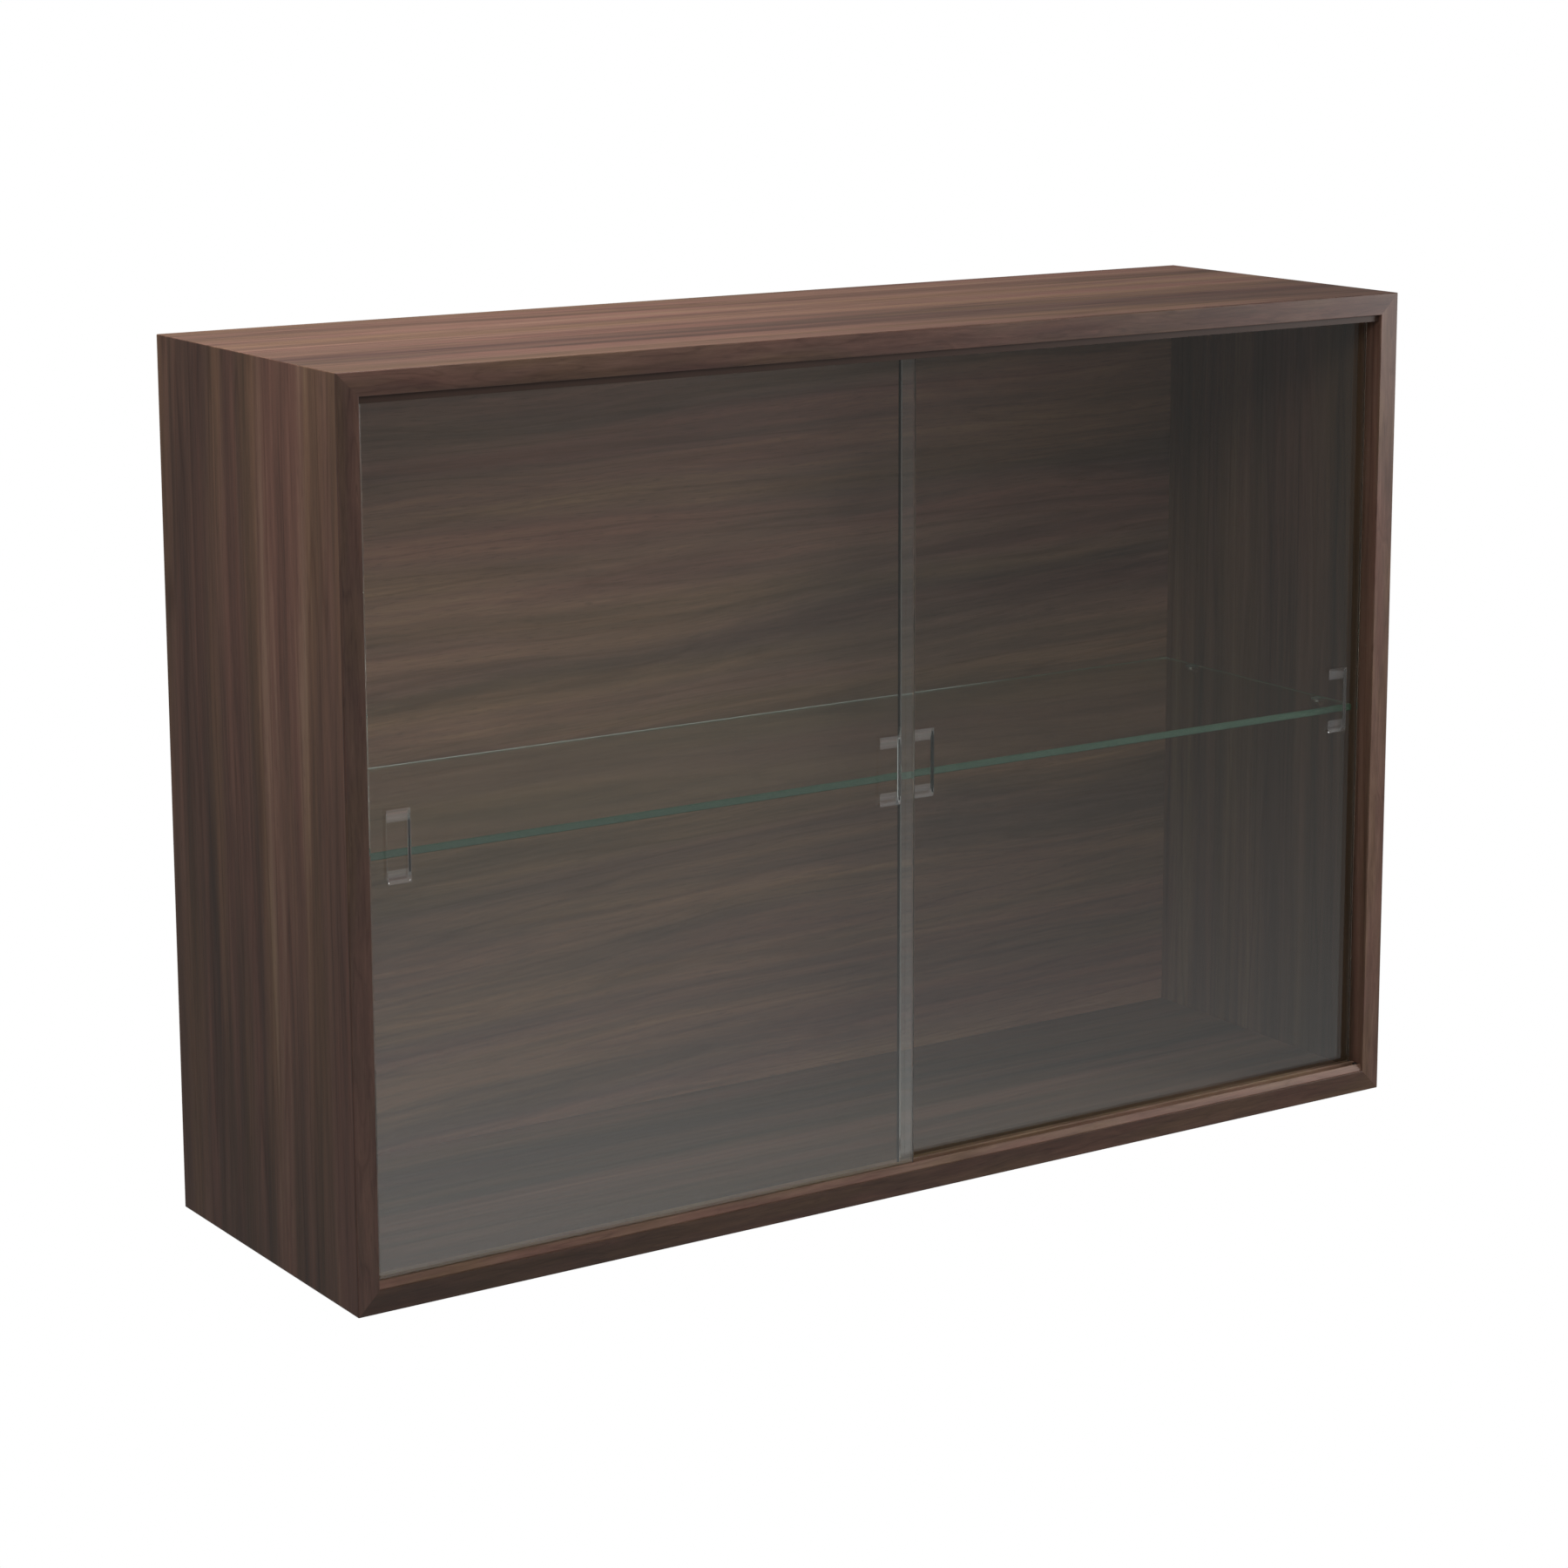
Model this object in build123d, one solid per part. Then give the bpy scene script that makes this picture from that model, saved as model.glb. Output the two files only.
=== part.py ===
"""Wall-mounted showcase: mitred walnut case, two sliding glass doors, one glass shelf, cleat hanging.

Frame: X runs left to right, Y runs from the room to the wall, Z is up. The origin is the middle of
the wall batten's screw line, on the wall plane (Y = 0). All sizes are in millimetres.
"""
import os
from build123d import *

# ---- Case ----------------------------------------------------------------------------------------
WIDTH = 1000.0             # outside, left to right
DEPTH = 300.0              # outside, wall to front face
HEIGHT = 700.0             # outside
BOARD = 18.0               # thickness of the top, bottom and side boards
LIPPING = 2.0              # solid lipping glued on the front edge of each board
OUTER_ARRIS = 0.8          # rounding of the outside edges
INNER_ARRIS = 0.5          # rounding of the front opening's edge

# ---- Back panel and the recess behind it ---------------------------------------------------------
BACK = 8.0                 # back panel thickness
BACK_TONGUE = 6.0          # how far the back panel enters the boards
GROOVE_RELIEF = 0.5        # glue room at the bottom of the back panel's groove
WALL_RECESS = 10.0         # open depth behind the back panel
WALL_GAP = 0.5             # clearance of a batten from the face it hangs in front of

# ---- Battens: a bevelled pair that hooks together, and a spacer below ----------------------------
BATTEN = WALL_RECESS - WALL_GAP
HANGING_BATTEN_HEIGHT = 55.0   # on its cabinet side
WALL_BATTEN_HEIGHT = 60.0      # on its wall side
SPACER_BATTEN_HEIGHT = 40.0
WALL_BATTEN_PLAY = 12.0        # sideways room at each end of the wall batten
WALL_SCREW_OUTER = 800.0       # spacing of the outer pair of wall screw holes
WALL_SCREW_INNER = 300.0       # spacing of the inner pair
WALL_SCREW_HOLE = 5.5
WALL_SCREW_HEAD = 10.5

# ---- Screws that hold the battens to the back panel ----------------------------------------------
SCREW_SHANK = 4.0
SCREW_HEAD = 8.0
SCREW_LENGTH = 16.0
SCREW_TIP = 4.0
SCREW_SLOT_WIDTH = 1.1
SCREW_SLOT_DEPTH = 1.3
SCREW_COUNT = 5                # in each batten
SCREW_END_DISTANCE = 80.0      # end screw to batten end

# ---- Biscuits in the mitres ----------------------------------------------------------------------
BISCUIT_LENGTH = 47.0
BISCUIT_WIDTH = 15.0
BISCUIT_THICKNESS = 4.0
BISCUIT_FROM_INSIDE = 13.0     # its middle, along the mitre, from the inside corner
BISCUIT_END_DISTANCE = 60.0    # its middle from the board's front and back edges
BISCUITS_PER_MITRE = 3

# ---- Sliding doors -------------------------------------------------------------------------------
DOOR_GLASS = 5.0
DOOR_SETBACK = 5.0             # front face of the case to front face of the front door
DOOR_OVERLAP = 9.0             # closed doors, edge past edge
DOOR_END_GAP = 2.5             # door edge to side board, filled by the end stop
GLASS_ARRIS = 0.8
PULL_WIDTH = 20.0              # ground finger pull
PULL_HEIGHT = 56.0
PULL_RAMP = 11.0               # sloping run at its top and bottom
PULL_DEPTH = 2.5
PULL_INSET = 14.0              # door edge to the pull's near side

# ---- Door tracks ---------------------------------------------------------------------------------
CHANNEL_PLAY = 1.0             # channel width over the door glass
CHANNEL = DOOR_GLASS + CHANNEL_PLAY
CHANNEL_RIB = 3.5              # between the channels
TRACK_WALL = 1.0               # outer walls
TRACK_BASE = 1.5               # under (or over) the channels
BOTTOM_TRACK_HEIGHT = 6.0      # above the bottom board
TOP_TRACK_DROP = 5.5           # below the top board
TOP_TRACK_RECESS = 6.0         # into the top board
NOSING_SETBACK = 1.0           # foot of the bottom track's sloped nosing, behind the front face
NOSING_FOOT = 0.8              # upright part of the nosing
TONGUE_WIDTH = 4.0             # under the bottom track's rear wall
TONGUE_DEPTH = 6.0
RUNNING_GAP = 0.2              # door glass to the channel floor
LIFT_SPARE = 0.5               # left over when a door is lifted clear of the bottom track
STOP_PLAY = 0.2                # door edge to end stop
STOP_BELOW_RIM = 0.5

# ---- Shelf and its pins --------------------------------------------------------------------------
SHELF_GLASS = 6.0
SHELF_TOP = 343.0              # above the underside of the case
SHELF_SETBACK = 27.0           # front face of the case to the shelf's front edge
SHELF_GAP = 1.5                # to the side boards and the back panel
PIN_DIAMETER = 5.0
PIN_IN_BOARD = 9.0
PIN_FROM_EDGE = 40.0           # pin to the shelf's front and back edges
COLLAR_DIAMETER = 9.0
COLLAR_LENGTH = 1.0
SPADE_LENGTH = 10.0
SPADE_WIDTH = 9.0
SPADE_THICKNESS = 2.0
CUSHION = 1.0                  # thickness of the clear pad on each pin
CUSHION_MARGIN = 0.5           # spade edge to pad edge

# ---- Places worked out from the sizes ------------------------------------------------------------
BATTEN_BEVEL_TOP = HEIGHT - BOARD - HANGING_BATTEN_HEIGHT     # on the cabinet side of the recess
WALL_SCREW_LINE = BATTEN_BEVEL_TOP - WALL_RECESS - WALL_BATTEN_HEIGHT / 2

z_base = -WALL_SCREW_LINE
z_top = z_base + HEIGHT
z_floor = z_base + BOARD
z_ceiling = z_top - BOARD
x_out = WIDTH / 2
x_in = x_out - BOARD
y_front = -DEPTH
y_core = y_front + LIPPING
y_back_rear = -WALL_RECESS
y_back_face = y_back_rear - BACK

pitch = CHANNEL + CHANNEL_RIB
channel_side = CHANNEL_PLAY / 2
y_channel = y_front + DOOR_SETBACK - channel_side
y_track_end = y_channel + pitch + CHANNEL + TRACK_WALL
z_channel_floor = z_floor + TRACK_BASE
z_rim = z_floor + BOTTOM_TRACK_HEIGHT
z_channel_roof = z_ceiling + TOP_TRACK_RECESS - TRACK_BASE
z_drop = z_ceiling - TOP_TRACK_DROP

door_width = (2 * x_in + DOOR_OVERLAP - 2 * DOOR_END_GAP) / 2
door_low = z_channel_floor + RUNNING_GAP
door_high = z_channel_roof - (z_rim - door_low) - LIFT_SPARE
door_travel = 2 * x_in - 2 * DOOR_END_GAP - door_width

z_shelf = z_base + SHELF_TOP
z_shelf_low = z_shelf - SHELF_GLASS
y_shelf = (y_front + SHELF_SETBACK, y_back_face - SHELF_GAP)


# ---- Helpers -------------------------------------------------------------------------------------
def slab(x, y, z):
    """A block from its (low, high) pair along each axis."""
    size = [high - low for low, high in (x, y, z)]
    centre = [(high + low) / 2 for low, high in (x, y, z)]
    return Pos(*centre) * Box(*size)


def prism_y(points, y_low, y_high):
    """A prism along Y whose outline is (x, z) points."""
    face = make_face(Plane.XZ.offset(-y_high) * Polyline(*points, close=True))
    return extrude(face, y_high - y_low, dir=(0, -1, 0))


def prism_x(points, x_low, x_high):
    """A prism along X whose outline is (y, z) points."""
    face = make_face(Plane.YZ.offset(x_low) * Polyline(*points, close=True))
    return extrude(face, x_high - x_low, dir=(1, 0, 0))


def spread(low, high, count):
    """Evenly spaced places from low to high."""
    return [low + (high - low) * i / (count - 1) for i in range(count)]


# ---- Case outline: one mitred trapezium for each side --------------------------------------------
OUTER = {"top_left": (-x_out, z_top), "top_right": (x_out, z_top),
         "bottom_right": (x_out, z_base), "bottom_left": (-x_out, z_base)}
INNER = {"top_left": (-x_in, z_ceiling), "top_right": (x_in, z_ceiling),
         "bottom_right": (x_in, z_floor), "bottom_left": (-x_in, z_floor)}
SIDES = {"top": ("top_left", "top_right"), "right_side": ("top_right", "bottom_right"),
         "bottom": ("bottom_right", "bottom_left"), "left_side": ("bottom_left", "top_left")}


def mitred(side, y_low, y_high):
    """The stretch of one side's mitred board between two depths."""
    start, end = SIDES[side]
    return prism_y([OUTER[start], OUTER[end], INNER[end], INNER[start]], y_low, y_high)


def rounded_envelope():
    """The case's outside block, with every edge rounded but those at the wall."""
    block = slab((-x_out, x_out), (y_front, 0), (z_base, z_top))
    along_depth = block.edges().filter_by(Axis.Y)
    front = block.edges().filter_by_position(Axis.Y, y_front, y_front)
    return fillet(along_depth + front, OUTER_ARRIS)


def back_groove():
    """The space that the groove round the inside of the case takes."""
    deep = BACK_TONGUE + GROOVE_RELIEF
    return slab((-x_in - deep, x_in + deep), (y_back_face, y_back_rear),
                (z_floor - deep, z_ceiling + deep))


# ---- Biscuits ------------------------------------------------------------------------------------
def biscuit():
    """A lens-shaped biscuit: two arcs over its length, lying in XY with its middle at the origin."""
    half = BISCUIT_LENGTH / 2
    upper = ThreePointArc((-half, 0), (0, BISCUIT_WIDTH / 2), (half, 0))
    lower = ThreePointArc((half, 0), (0, -BISCUIT_WIDTH / 2), (-half, 0))
    return extrude(make_face([upper, lower]), BISCUIT_THICKNESS / 2, both=True)


def mitre_biscuits(corner):
    """The biscuits across one corner's mitre, lying square to the mitre face."""
    x_corner, z_corner = INNER[corner]
    x_outer, z_outer = OUTER[corner]
    out_x = 1 if x_outer > x_corner else -1
    out_z = 1 if z_outer > z_corner else -1
    reach = BISCUIT_FROM_INSIDE / 2 ** 0.5
    along_mitre = Vector(out_x, 0, out_z).normalized()
    group = []
    for y in spread(y_core + BISCUIT_END_DISTANCE, -BISCUIT_END_DISTANCE, BISCUITS_PER_MITRE):
        middle = (x_corner + out_x * reach, y, z_corner + out_z * reach)
        lying = Plane(origin=middle, x_dir=(0, 1, 0), z_dir=along_mitre)
        group.append(lying * biscuit())
    return group


# ---- Door tracks ---------------------------------------------------------------------------------
def bottom_track():
    """Double channel with a sloped nosing in front and a tongue under its rear wall."""
    front, rear = y_channel, y_channel + pitch
    foot = y_front + NOSING_SETBACK
    profile = [(foot, z_floor), (foot, z_floor + NOSING_FOOT), (front - TRACK_WALL, z_rim),
               (front, z_rim), (front, z_channel_floor), (front + CHANNEL, z_channel_floor),
               (front + CHANNEL, z_rim), (rear, z_rim), (rear, z_channel_floor),
               (rear + CHANNEL, z_channel_floor), (rear + CHANNEL, z_rim),
               (y_track_end, z_rim), (y_track_end, z_floor)]
    body = prism_x(profile, -x_in, x_in)
    tongue = slab((-x_in, x_in), (y_track_end - TONGUE_WIDTH, y_track_end),
                  (z_floor - TONGUE_DEPTH, z_floor))
    return body + tongue, tongue


def top_track():
    """Deeper double channel, let into the top board so that a door can be lifted out."""
    front, rear = y_channel, y_channel + pitch
    outside = slab((-x_in, x_in), (front - TRACK_WALL, y_track_end),
                   (z_drop, z_ceiling + TOP_TRACK_RECESS))
    body = outside
    for start in (front, rear):
        body -= slab((-x_in, x_in), (start, start + CHANNEL), (z_drop, z_channel_roof))
    recess = outside & slab((-x_in, x_in), (y_front, 0), (z_ceiling, z_top))
    return body, recess


def end_stops():
    """A block at each end of both bottom channels."""
    length = DOOR_END_GAP - STOP_PLAY
    height = (z_channel_floor, z_rim - STOP_BELOW_RIM)
    blocks = []
    for start in (y_channel, y_channel + pitch):
        for x in ((-x_in, -x_in + length), (x_in - length, x_in)):
            blocks.append(slab(x, (start, start + CHANNEL), height))
    return blocks


# ---- Glass ---------------------------------------------------------------------------------------
def pane(x, y, z):
    """A sheet of glass with a small polished arris on every edge."""
    sheet = slab(x, y, z)
    return chamfer(sheet.edges(), GLASS_ARRIS)


def finger_pull(x_low, y_face):
    """The hollow ground into a door: flat in the middle, ramped up to the face at both ends."""
    middle = (door_low + door_high) / 2
    half, flat = PULL_HEIGHT / 2, PULL_HEIGHT / 2 - PULL_RAMP
    profile = [(y_face, middle - half), (y_face + PULL_DEPTH, middle - flat),
               (y_face + PULL_DEPTH, middle + flat), (y_face, middle + half)]
    return prism_x(profile, x_low, x_low + PULL_WIDTH)


def door(x_low, y_face):
    """One sliding door with a finger pull near each upright edge."""
    glass = pane((x_low, x_low + door_width), (y_face, y_face + DOOR_GLASS), (door_low, door_high))
    for x_pull in (x_low + PULL_INSET, x_low + door_width - PULL_INSET - PULL_WIDTH):
        glass -= finger_pull(x_pull, y_face)
    return glass


# ---- Shelf pins ----------------------------------------------------------------------------------
z_spade = z_shelf_low - CUSHION


def shelf_pin(side, y):
    """A pin with a collar against the board and a flat spade under the shelf; side is -1 or 1."""
    x_wall = side * x_in
    axis_z = z_spade - PIN_DIAMETER / 2
    into_board = Plane(origin=(x_wall, y, axis_z), z_dir=(side, 0, 0))
    shank = extrude(into_board * Circle(PIN_DIAMETER / 2), PIN_IN_BOARD)
    collar = extrude(into_board * Circle(COLLAR_DIAMETER / 2), -COLLAR_LENGTH)
    collar &= slab((-x_in, x_in), (y - SPADE_WIDTH, y + SPADE_WIDTH), (z_base, z_spade))
    x_span = sorted((x_wall, x_wall - side * SPADE_LENGTH))
    spade = slab(x_span, (y - SPADE_WIDTH / 2, y + SPADE_WIDTH / 2),
                 (z_spade - SPADE_THICKNESS, z_spade))
    tip = spade.edges().filter_by(Axis.Z).sort_by(Axis.X)
    spade = fillet(tip[:2] if side > 0 else tip[-2:], SPADE_WIDTH / 3)
    return shank + collar + spade


def shelf_cushion(side, y):
    """The clear pad that sits on a pin's spade."""
    x_wall = side * x_in
    x_span = sorted((x_wall - side * CUSHION_MARGIN, x_wall - side * (SPADE_LENGTH - CUSHION_MARGIN)))
    half = SPADE_WIDTH / 2 - CUSHION_MARGIN
    pad = slab(x_span, (y - half, y + half), (z_spade, z_shelf_low))
    tip = pad.edges().filter_by(Axis.Z).sort_by(Axis.X)
    return fillet(tip[:2] if side > 0 else tip[-2:], half / 2)


# ---- Battens and screws --------------------------------------------------------------------------
def bevel(y):
    """Height of the sloping contact face between the two hooked battens."""
    return z_base + BATTEN_BEVEL_TOP - WALL_RECESS - y


def hanging_batten():
    """Cabinet half of the hook: its bevel hangs lowest at the wall."""
    cabinet_side, wall_side = y_back_rear, y_back_rear + BATTEN
    return prism_x([(cabinet_side, z_ceiling), (wall_side, z_ceiling),
                    (wall_side, bevel(wall_side)), (cabinet_side, bevel(cabinet_side))], -x_in, x_in)


def wall_batten():
    """Wall half of the hook, with countersunk holes for the wall screws."""
    cabinet_side = -BATTEN
    low = -WALL_BATTEN_HEIGHT / 2
    half_length = x_in - WALL_BATTEN_PLAY
    batten = prism_x([(0, low), (0, bevel(0)), (cabinet_side, bevel(cabinet_side)),
                      (cabinet_side, low)], -half_length, half_length)
    sink = (WALL_SCREW_HEAD - WALL_SCREW_HOLE) / 2
    for x in (-WALL_SCREW_OUTER / 2, -WALL_SCREW_INNER / 2, WALL_SCREW_INNER / 2, WALL_SCREW_OUTER / 2):
        mouth = Plane(origin=(x, cabinet_side, 0), z_dir=(0, 1, 0))
        batten -= extrude(mouth * Circle(WALL_SCREW_HOLE / 2), BATTEN)
        batten -= mouth * Pos(0, 0, sink / 2) * Cone(WALL_SCREW_HEAD / 2, WALL_SCREW_HOLE / 2, sink)
    return batten


def spacer_batten():
    """Plain batten across the bottom of the recess, which keeps the case upright on the wall."""
    return slab((-x_in, x_in), (y_back_rear, y_back_rear + BATTEN),
                (z_floor, z_floor + SPACER_BATTEN_HEIGHT))


def screw_blank():
    """A countersunk screw without its drive: head at the origin, pointing along +Z."""
    head, shank = SCREW_HEAD / 2, SCREW_SHANK / 2
    outline = Polyline((0, 0), (head, 0), (shank, head - shank), (shank, SCREW_LENGTH - SCREW_TIP),
                       (0, SCREW_LENGTH), close=True)
    return revolve(make_face(Plane.XZ * outline), Axis.Z)


def batten_screw_places():
    """Where the screws sit: one row in the hanging batten and one in the spacer."""
    rows = (z_ceiling - (HANGING_BATTEN_HEIGHT - WALL_RECESS) / 2, z_floor + SPACER_BATTEN_HEIGHT / 2)
    ends = x_in - SCREW_END_DISTANCE
    y_head = y_back_rear + BATTEN
    return [Plane(origin=(x, y_head, z), z_dir=(0, -1, 0))
            for z in rows for x in spread(-ends, ends, SCREW_COUNT)]


def batten_screw():
    """The blank with a cross slot for the driver."""
    screw = screw_blank()
    for length, width in ((SCREW_HEAD * 0.6, SCREW_SLOT_WIDTH), (SCREW_SLOT_WIDTH, SCREW_HEAD * 0.6)):
        screw -= Pos(0, 0, SCREW_SLOT_DEPTH / 2) * Box(length, width, SCREW_SLOT_DEPTH)
    return screw


# ---- Assembly ------------------------------------------------------------------------------------
def build():
    """Every node of the showcase, by name."""
    nodes = {}
    envelope = rounded_envelope()
    groove = back_groove()
    biscuits = {corner: mitre_biscuits(corner) for corner in OUTER}
    screw_places = batten_screw_places()
    pilots = [place * screw_blank() for place in screw_places]
    pin_ys = (y_shelf[0] + PIN_FROM_EDGE, y_shelf[1] - PIN_FROM_EDGE)
    pins = {(name, end): shelf_pin(side, y)
            for name, side in (("left", -1), ("right", 1)) for end, y in zip(("front", "back"), pin_ys)}

    nodes["bottom_track"], bottom_slot = bottom_track()
    nodes["top_track"], top_slot = top_track()
    cuts = {"top": [top_slot], "bottom": [bottom_slot],
            "left_side": [pins["left", "front"], pins["left", "back"]],
            "right_side": [pins["right", "front"], pins["right", "back"]]}

    for side, corners in SIDES.items():
        board = mitred(side, y_core, 0) & envelope
        board -= groove
        for cut in cuts[side] + biscuits[corners[0]] + biscuits[corners[1]]:
            board -= cut
        nodes[side + "_panel"] = board

        lipping = mitred(side, y_front, y_core)
        along = Axis.Z if side.endswith("side") else Axis.X
        across = Axis.X if side.endswith("side") else Axis.Z
        front_edges = lipping.edges().filter_by(along).filter_by_position(Axis.Y, y_front, y_front)
        inner_last = side in ("left_side", "bottom")
        inner = front_edges.sort_by(across)[-1 if inner_last else 0]
        nodes[side + "_lipping"] = fillet(inner, INNER_ARRIS) & envelope

    back = slab((-x_in - BACK_TONGUE, x_in + BACK_TONGUE), (y_back_face, y_back_rear),
                (z_floor - BACK_TONGUE, z_ceiling + BACK_TONGUE))
    hanging, spacer = hanging_batten(), spacer_batten()
    for pilot in pilots:
        back -= pilot
        hanging -= pilot
        spacer -= pilot
    nodes["back_panel"] = back
    nodes["hanging_batten"] = hanging
    nodes["spacer_batten"] = spacer
    nodes["wall_batten"] = wall_batten()
    nodes["batten_screws"] = Compound(children=[place * batten_screw() for place in screw_places])

    for corner, group in biscuits.items():
        nodes["mitre_biscuits_" + corner] = Compound(children=group)

    left_end = -x_in + DOOR_END_GAP
    right_start = x_in - DOOR_END_GAP - door_width
    nodes["front_door_glass"] = door(left_end, y_front + DOOR_SETBACK)
    nodes["rear_door_glass"] = door(right_start, y_front + DOOR_SETBACK + pitch)
    nodes["track_end_stops"] = Compound(children=end_stops())

    nodes["shelf_glass"] = pane((-x_in + SHELF_GAP, x_in - SHELF_GAP), y_shelf, (z_shelf_low, z_shelf))
    for (name, end), pin in pins.items():
        nodes["shelf_pin_" + end + "_" + name] = pin
    nodes["shelf_pin_cushions"] = Compound(children=[shelf_cushion(side, y)
                                                     for side in (-1, 1) for y in pin_ys])
    return nodes


os.makedirs("parts", exist_ok=True)
for name, shape in build().items():
    export_step(shape, "parts/" + name + ".step")
print("door width", door_width, "height", round(door_high - door_low, 2), "travel", door_travel)
print("base at z", z_base, "top at z", z_top, "door middle above base",
      round((door_low + door_high) / 2 - z_base, 2))
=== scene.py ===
# %% [markdown]
# # A wall showcase in walnut veneer, with sliding glass doors
# The object is a shallow case that hangs on a wall: four veneered boards mitred at the corners, a
# thin back panel, a glass shelf and two glass doors that slide past each other. This file dresses the
# measured CAD frame: it gives every part the finish that a cabinet maker would give it, makes the
# glass that a grinder has worked, and lights it as a small studio would.

# %% Load the measured frame
import math
import bpy
import numpy as np
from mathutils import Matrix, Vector


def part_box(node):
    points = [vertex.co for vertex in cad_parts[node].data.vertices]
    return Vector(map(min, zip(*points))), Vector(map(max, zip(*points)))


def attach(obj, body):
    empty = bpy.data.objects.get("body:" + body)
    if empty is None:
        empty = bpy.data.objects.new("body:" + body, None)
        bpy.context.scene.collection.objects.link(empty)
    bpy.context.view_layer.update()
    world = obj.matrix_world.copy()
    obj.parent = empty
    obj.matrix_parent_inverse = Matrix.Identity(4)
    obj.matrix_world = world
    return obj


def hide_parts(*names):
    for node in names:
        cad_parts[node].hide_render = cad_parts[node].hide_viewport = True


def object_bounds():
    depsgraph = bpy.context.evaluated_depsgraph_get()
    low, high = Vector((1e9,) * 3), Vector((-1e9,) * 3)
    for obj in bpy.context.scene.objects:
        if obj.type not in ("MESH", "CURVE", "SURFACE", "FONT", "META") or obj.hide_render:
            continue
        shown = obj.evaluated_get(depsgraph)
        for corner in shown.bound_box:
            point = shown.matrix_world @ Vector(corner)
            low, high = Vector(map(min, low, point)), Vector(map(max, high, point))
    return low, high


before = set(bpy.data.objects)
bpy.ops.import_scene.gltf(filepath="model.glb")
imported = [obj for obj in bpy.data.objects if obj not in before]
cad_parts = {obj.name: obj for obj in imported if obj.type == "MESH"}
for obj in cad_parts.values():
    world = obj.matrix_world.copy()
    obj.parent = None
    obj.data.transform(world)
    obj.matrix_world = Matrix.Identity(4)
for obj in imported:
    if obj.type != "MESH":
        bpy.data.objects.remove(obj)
cad_low, cad_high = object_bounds()
print("case box, metres:", [round(v, 3) for v in cad_low], [round(v, 3) for v in cad_high])

# %% [markdown]
# ## Camera first
# A product picture of a case is taken with a long lens, so that upright edges stay nearly upright.
# The camera stands in front and to the left, a little above, which shows the top, the left side and
# the front together. A long lens could also be imitated by an orthographic camera, but then the far
# end of the case would not get smaller, as it does to the eye.

# %% Camera
LENS_MM, FILM_MM = 88.97, 36.0
CAMERA_PLACE = Vector((-1.7306, -2.7411, 0.4433))
CAMERA_AZIMUTH, CAMERA_ELEVATION = -34.31, 10.697
CAMERA_SHIFT = (-0.04, -0.10)


def towards_camera(azimuth, elevation):
    """Unit vector from the object to the camera: azimuth turns round the upright, elevation lifts."""
    a, e = math.radians(azimuth), math.radians(elevation)
    return Vector((math.sin(a) * math.cos(e), -math.cos(a) * math.cos(e), math.sin(e)))


camera_data = bpy.data.cameras.new("camera")
camera_data.lens = LENS_MM
camera_data.sensor_width = FILM_MM
camera_data.shift_x, camera_data.shift_y = CAMERA_SHIFT
camera = bpy.data.objects.new("camera", camera_data)
bpy.context.scene.collection.objects.link(camera)
camera.location = CAMERA_PLACE
camera.rotation_mode = "QUATERNION"
view_line = -towards_camera(CAMERA_AZIMUTH, CAMERA_ELEVATION)
camera.rotation_quaternion = view_line.to_track_quat("-Z", "Y")
bpy.context.scene.camera = camera
print("camera", round((camera.location - (cad_low + cad_high) / 2).length, 2), "m from the case")

# %% [markdown]
# ## Colours and nodes
# Colours are chosen on a screen, so they are written as screen hex values, and one function
# turns them into the linear light that the renderer adds up. A material is a small graph of nodes;
# one function adds a node, fills in its settings and joins its inputs, so that each material reads
# like a recipe.

# %% Colour and node helpers
MM = 0.001


def linear(hex_colour, alpha=1.0):
    """Screen colour (sRGB hex) to linear light: the standard curve, straight near black."""
    channels = [int(hex_colour[i:i + 2], 16) / 255 for i in (1, 3, 5)]
    return [c / 12.92 if c <= 0.04045 else ((c + 0.055) / 1.055) ** 2.4 for c in channels] + [alpha]


def new_material(name):
    """A material with an empty graph."""
    material = bpy.data.materials.new(name)
    material.use_nodes = True
    material.node_tree.nodes.clear()
    return material


def add(owner, kind, inputs=None, stops=(), **settings):
    """Adds a node of that kind to the graph of a material or a world.

    inputs: by name or number, a plain value, another node's socket, or a node (its first output).
    stops: the (place, hex colour) pairs of a colour ramp. settings: the node's own fields.
    """
    tree = owner.node_tree
    node = tree.nodes.new(kind)
    for field, value in settings.items():
        setattr(node, field, value)
    for index, (place, colour) in enumerate(stops):
        elements = node.color_ramp.elements
        element = elements[index] if index < len(elements) else elements.new(place)
        element.position, element.color = place, linear(colour)
    for key, value in (inputs or {}).items():
        if isinstance(value, bpy.types.Node):
            value = value.outputs[0]
        if isinstance(value, bpy.types.NodeSocket):
            tree.links.new(value, node.inputs[key])
        else:
            node.inputs[key].default_value = value
    return node


# %% [markdown]
# ## Walnut veneer
# The boards are chipboard faced with a 0.6 mm walnut leaf, cut on the quarter, so the year rings
# show as long soft streaks and not as arches. What makes it walnut to the eye: broad bands of tone
# 25 to 80 mm wide, streaks of 6 to 16 mm that run along the board, swing and die out, thin dark
# lines where a ring ends, a drift of hue between plum and olive, and short dark pores. Each can be a
# noise that is stretched a long way along the grain; the thin lines are the contour lines of one.
# A picture of a leaf would repeat on every board; a formula gives each board its own leaf. The pores
# are really 0.2 mm wide, too fine to show, so they are drawn 0.7 mm wide.

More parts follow.
